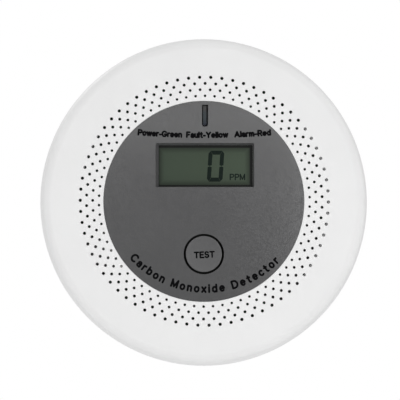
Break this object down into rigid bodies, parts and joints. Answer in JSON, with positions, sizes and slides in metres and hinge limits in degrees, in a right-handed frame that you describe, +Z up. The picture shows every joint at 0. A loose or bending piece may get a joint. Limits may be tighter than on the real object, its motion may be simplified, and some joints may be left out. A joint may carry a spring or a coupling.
{
  "type": "carbon monoxide detector",
  "caption": "Round white wall-mounted carbon monoxide detector with vent holes, a grey faceplate, a digital display, an indicator strip, a test button and a twist-lock bracket.",
  "frame": {"origin": "centre of the mounting bracket, on the wall plane", "axes": "+Z up, -Y out of the wall towards the viewer, +X to the viewer's right"},
  "size_m": [0.1, 0.038, 0.1],
  "materials": {
    "white_plastic": "fine satin texture, injection moulded ABS",
    "grey_plastic": "satin grey moulded ABS",
    "black_plastic": "matt black moulded plastic",
    "lcd_glass": "grey-green display behind smooth glass",
    "smoke_acrylic": "clear smoke-tinted acrylic",
    "zebra_rubber": "silicone with fine carbon layers",
    "nickel_steel": "nickel plated steel",
    "brass": "thin brass disc",
    "ferrite": "dark ferrite drum",
    "board_green": "green solder mask on glass-epoxy board",
    "cell_jacket": null,
    "red_sleeve": "red wire insulation",
    "dark_sleeve": "black sleeve",
    "led_green": "clear green lens",
    "led_yellow": "clear yellow lens",
    "led_red": "clear red lens"
  },
  "bodies": {
    "bracket": {"mounting_bracket": "white_plastic"},
    "alarm": {"rear_housing": "white_plastic", "front_cover": "white_plastic", "lcd_holder": "white_plastic", "sensor_filter_cap": "white_plastic", "faceplate": "grey_plastic", "lcd_glass": "lcd_glass", "light_pipe": "smoke_acrylic", "zebra_strip_upper": "zebra_rubber", "zebra_strip_lower": "zebra_rubber", "led_green": "led_green", "led_yellow": "led_yellow", "led_red": "led_red", "main_pcb": "board_green", "switch_body": "black_plastic", "microcontroller": "black_plastic", "sounder_driver": "black_plastic", "quartz_crystal": "nickel_steel", "capacitor": "dark_sleeve", "boost_coil": "ferrite", "sensor_base": "black_plastic", "sensor_can": "nickel_steel", "sounder_housing": "black_plastic", "piezo_disc": "brass", "sounder_cap": "black_plastic", "battery_top": "cell_jacket", "battery_middle": "cell_jacket", "battery_bottom": "cell_jacket", "contact_positive": "nickel_steel", "contact_bridge_right": "nickel_steel", "contact_bridge_left": "nickel_steel", "contact_negative": "nickel_steel", "spring_top": "nickel_steel", "spring_middle": "nickel_steel", "spring_bottom": "nickel_steel", "battery_lead_red": "red_sleeve", "battery_lead_black": "dark_sleeve", "sounder_lead_red": "red_sleeve", "sounder_lead_black": "dark_sleeve", "case_screw_1": "nickel_steel", "case_screw_2": "nickel_steel", "case_screw_3": "nickel_steel", "case_screw_4": "nickel_steel", "board_screw_1": "nickel_steel", "board_screw_2": "nickel_steel", "board_screw_3": "nickel_steel"},
    "button": {"test_button": "grey_plastic", "switch_plunger": "black_plastic"},
    "door": {"battery_door": "white_plastic"}
  },
  "joints": [
    {"name": "bracket_twist", "type": "hinge", "parent": "bracket", "child": "alarm", "pos_m": [0, 0, 0], "axis": [0, -1, 0], "range_deg": [0, 15]},
    {"name": "test_button_press", "type": "slide", "parent": "alarm", "child": "button", "axis": [0, 1, 0], "range_m": [0, 0.0008], "stiffness_N_per_m": 1500},
    {"name": "battery_door_hinge", "type": "hinge", "parent": "alarm", "child": "door", "pos_m": [0, -0.0047, 0.0218], "axis": [1, 0, 0], "range_deg": [0, 100]}
  ]
}
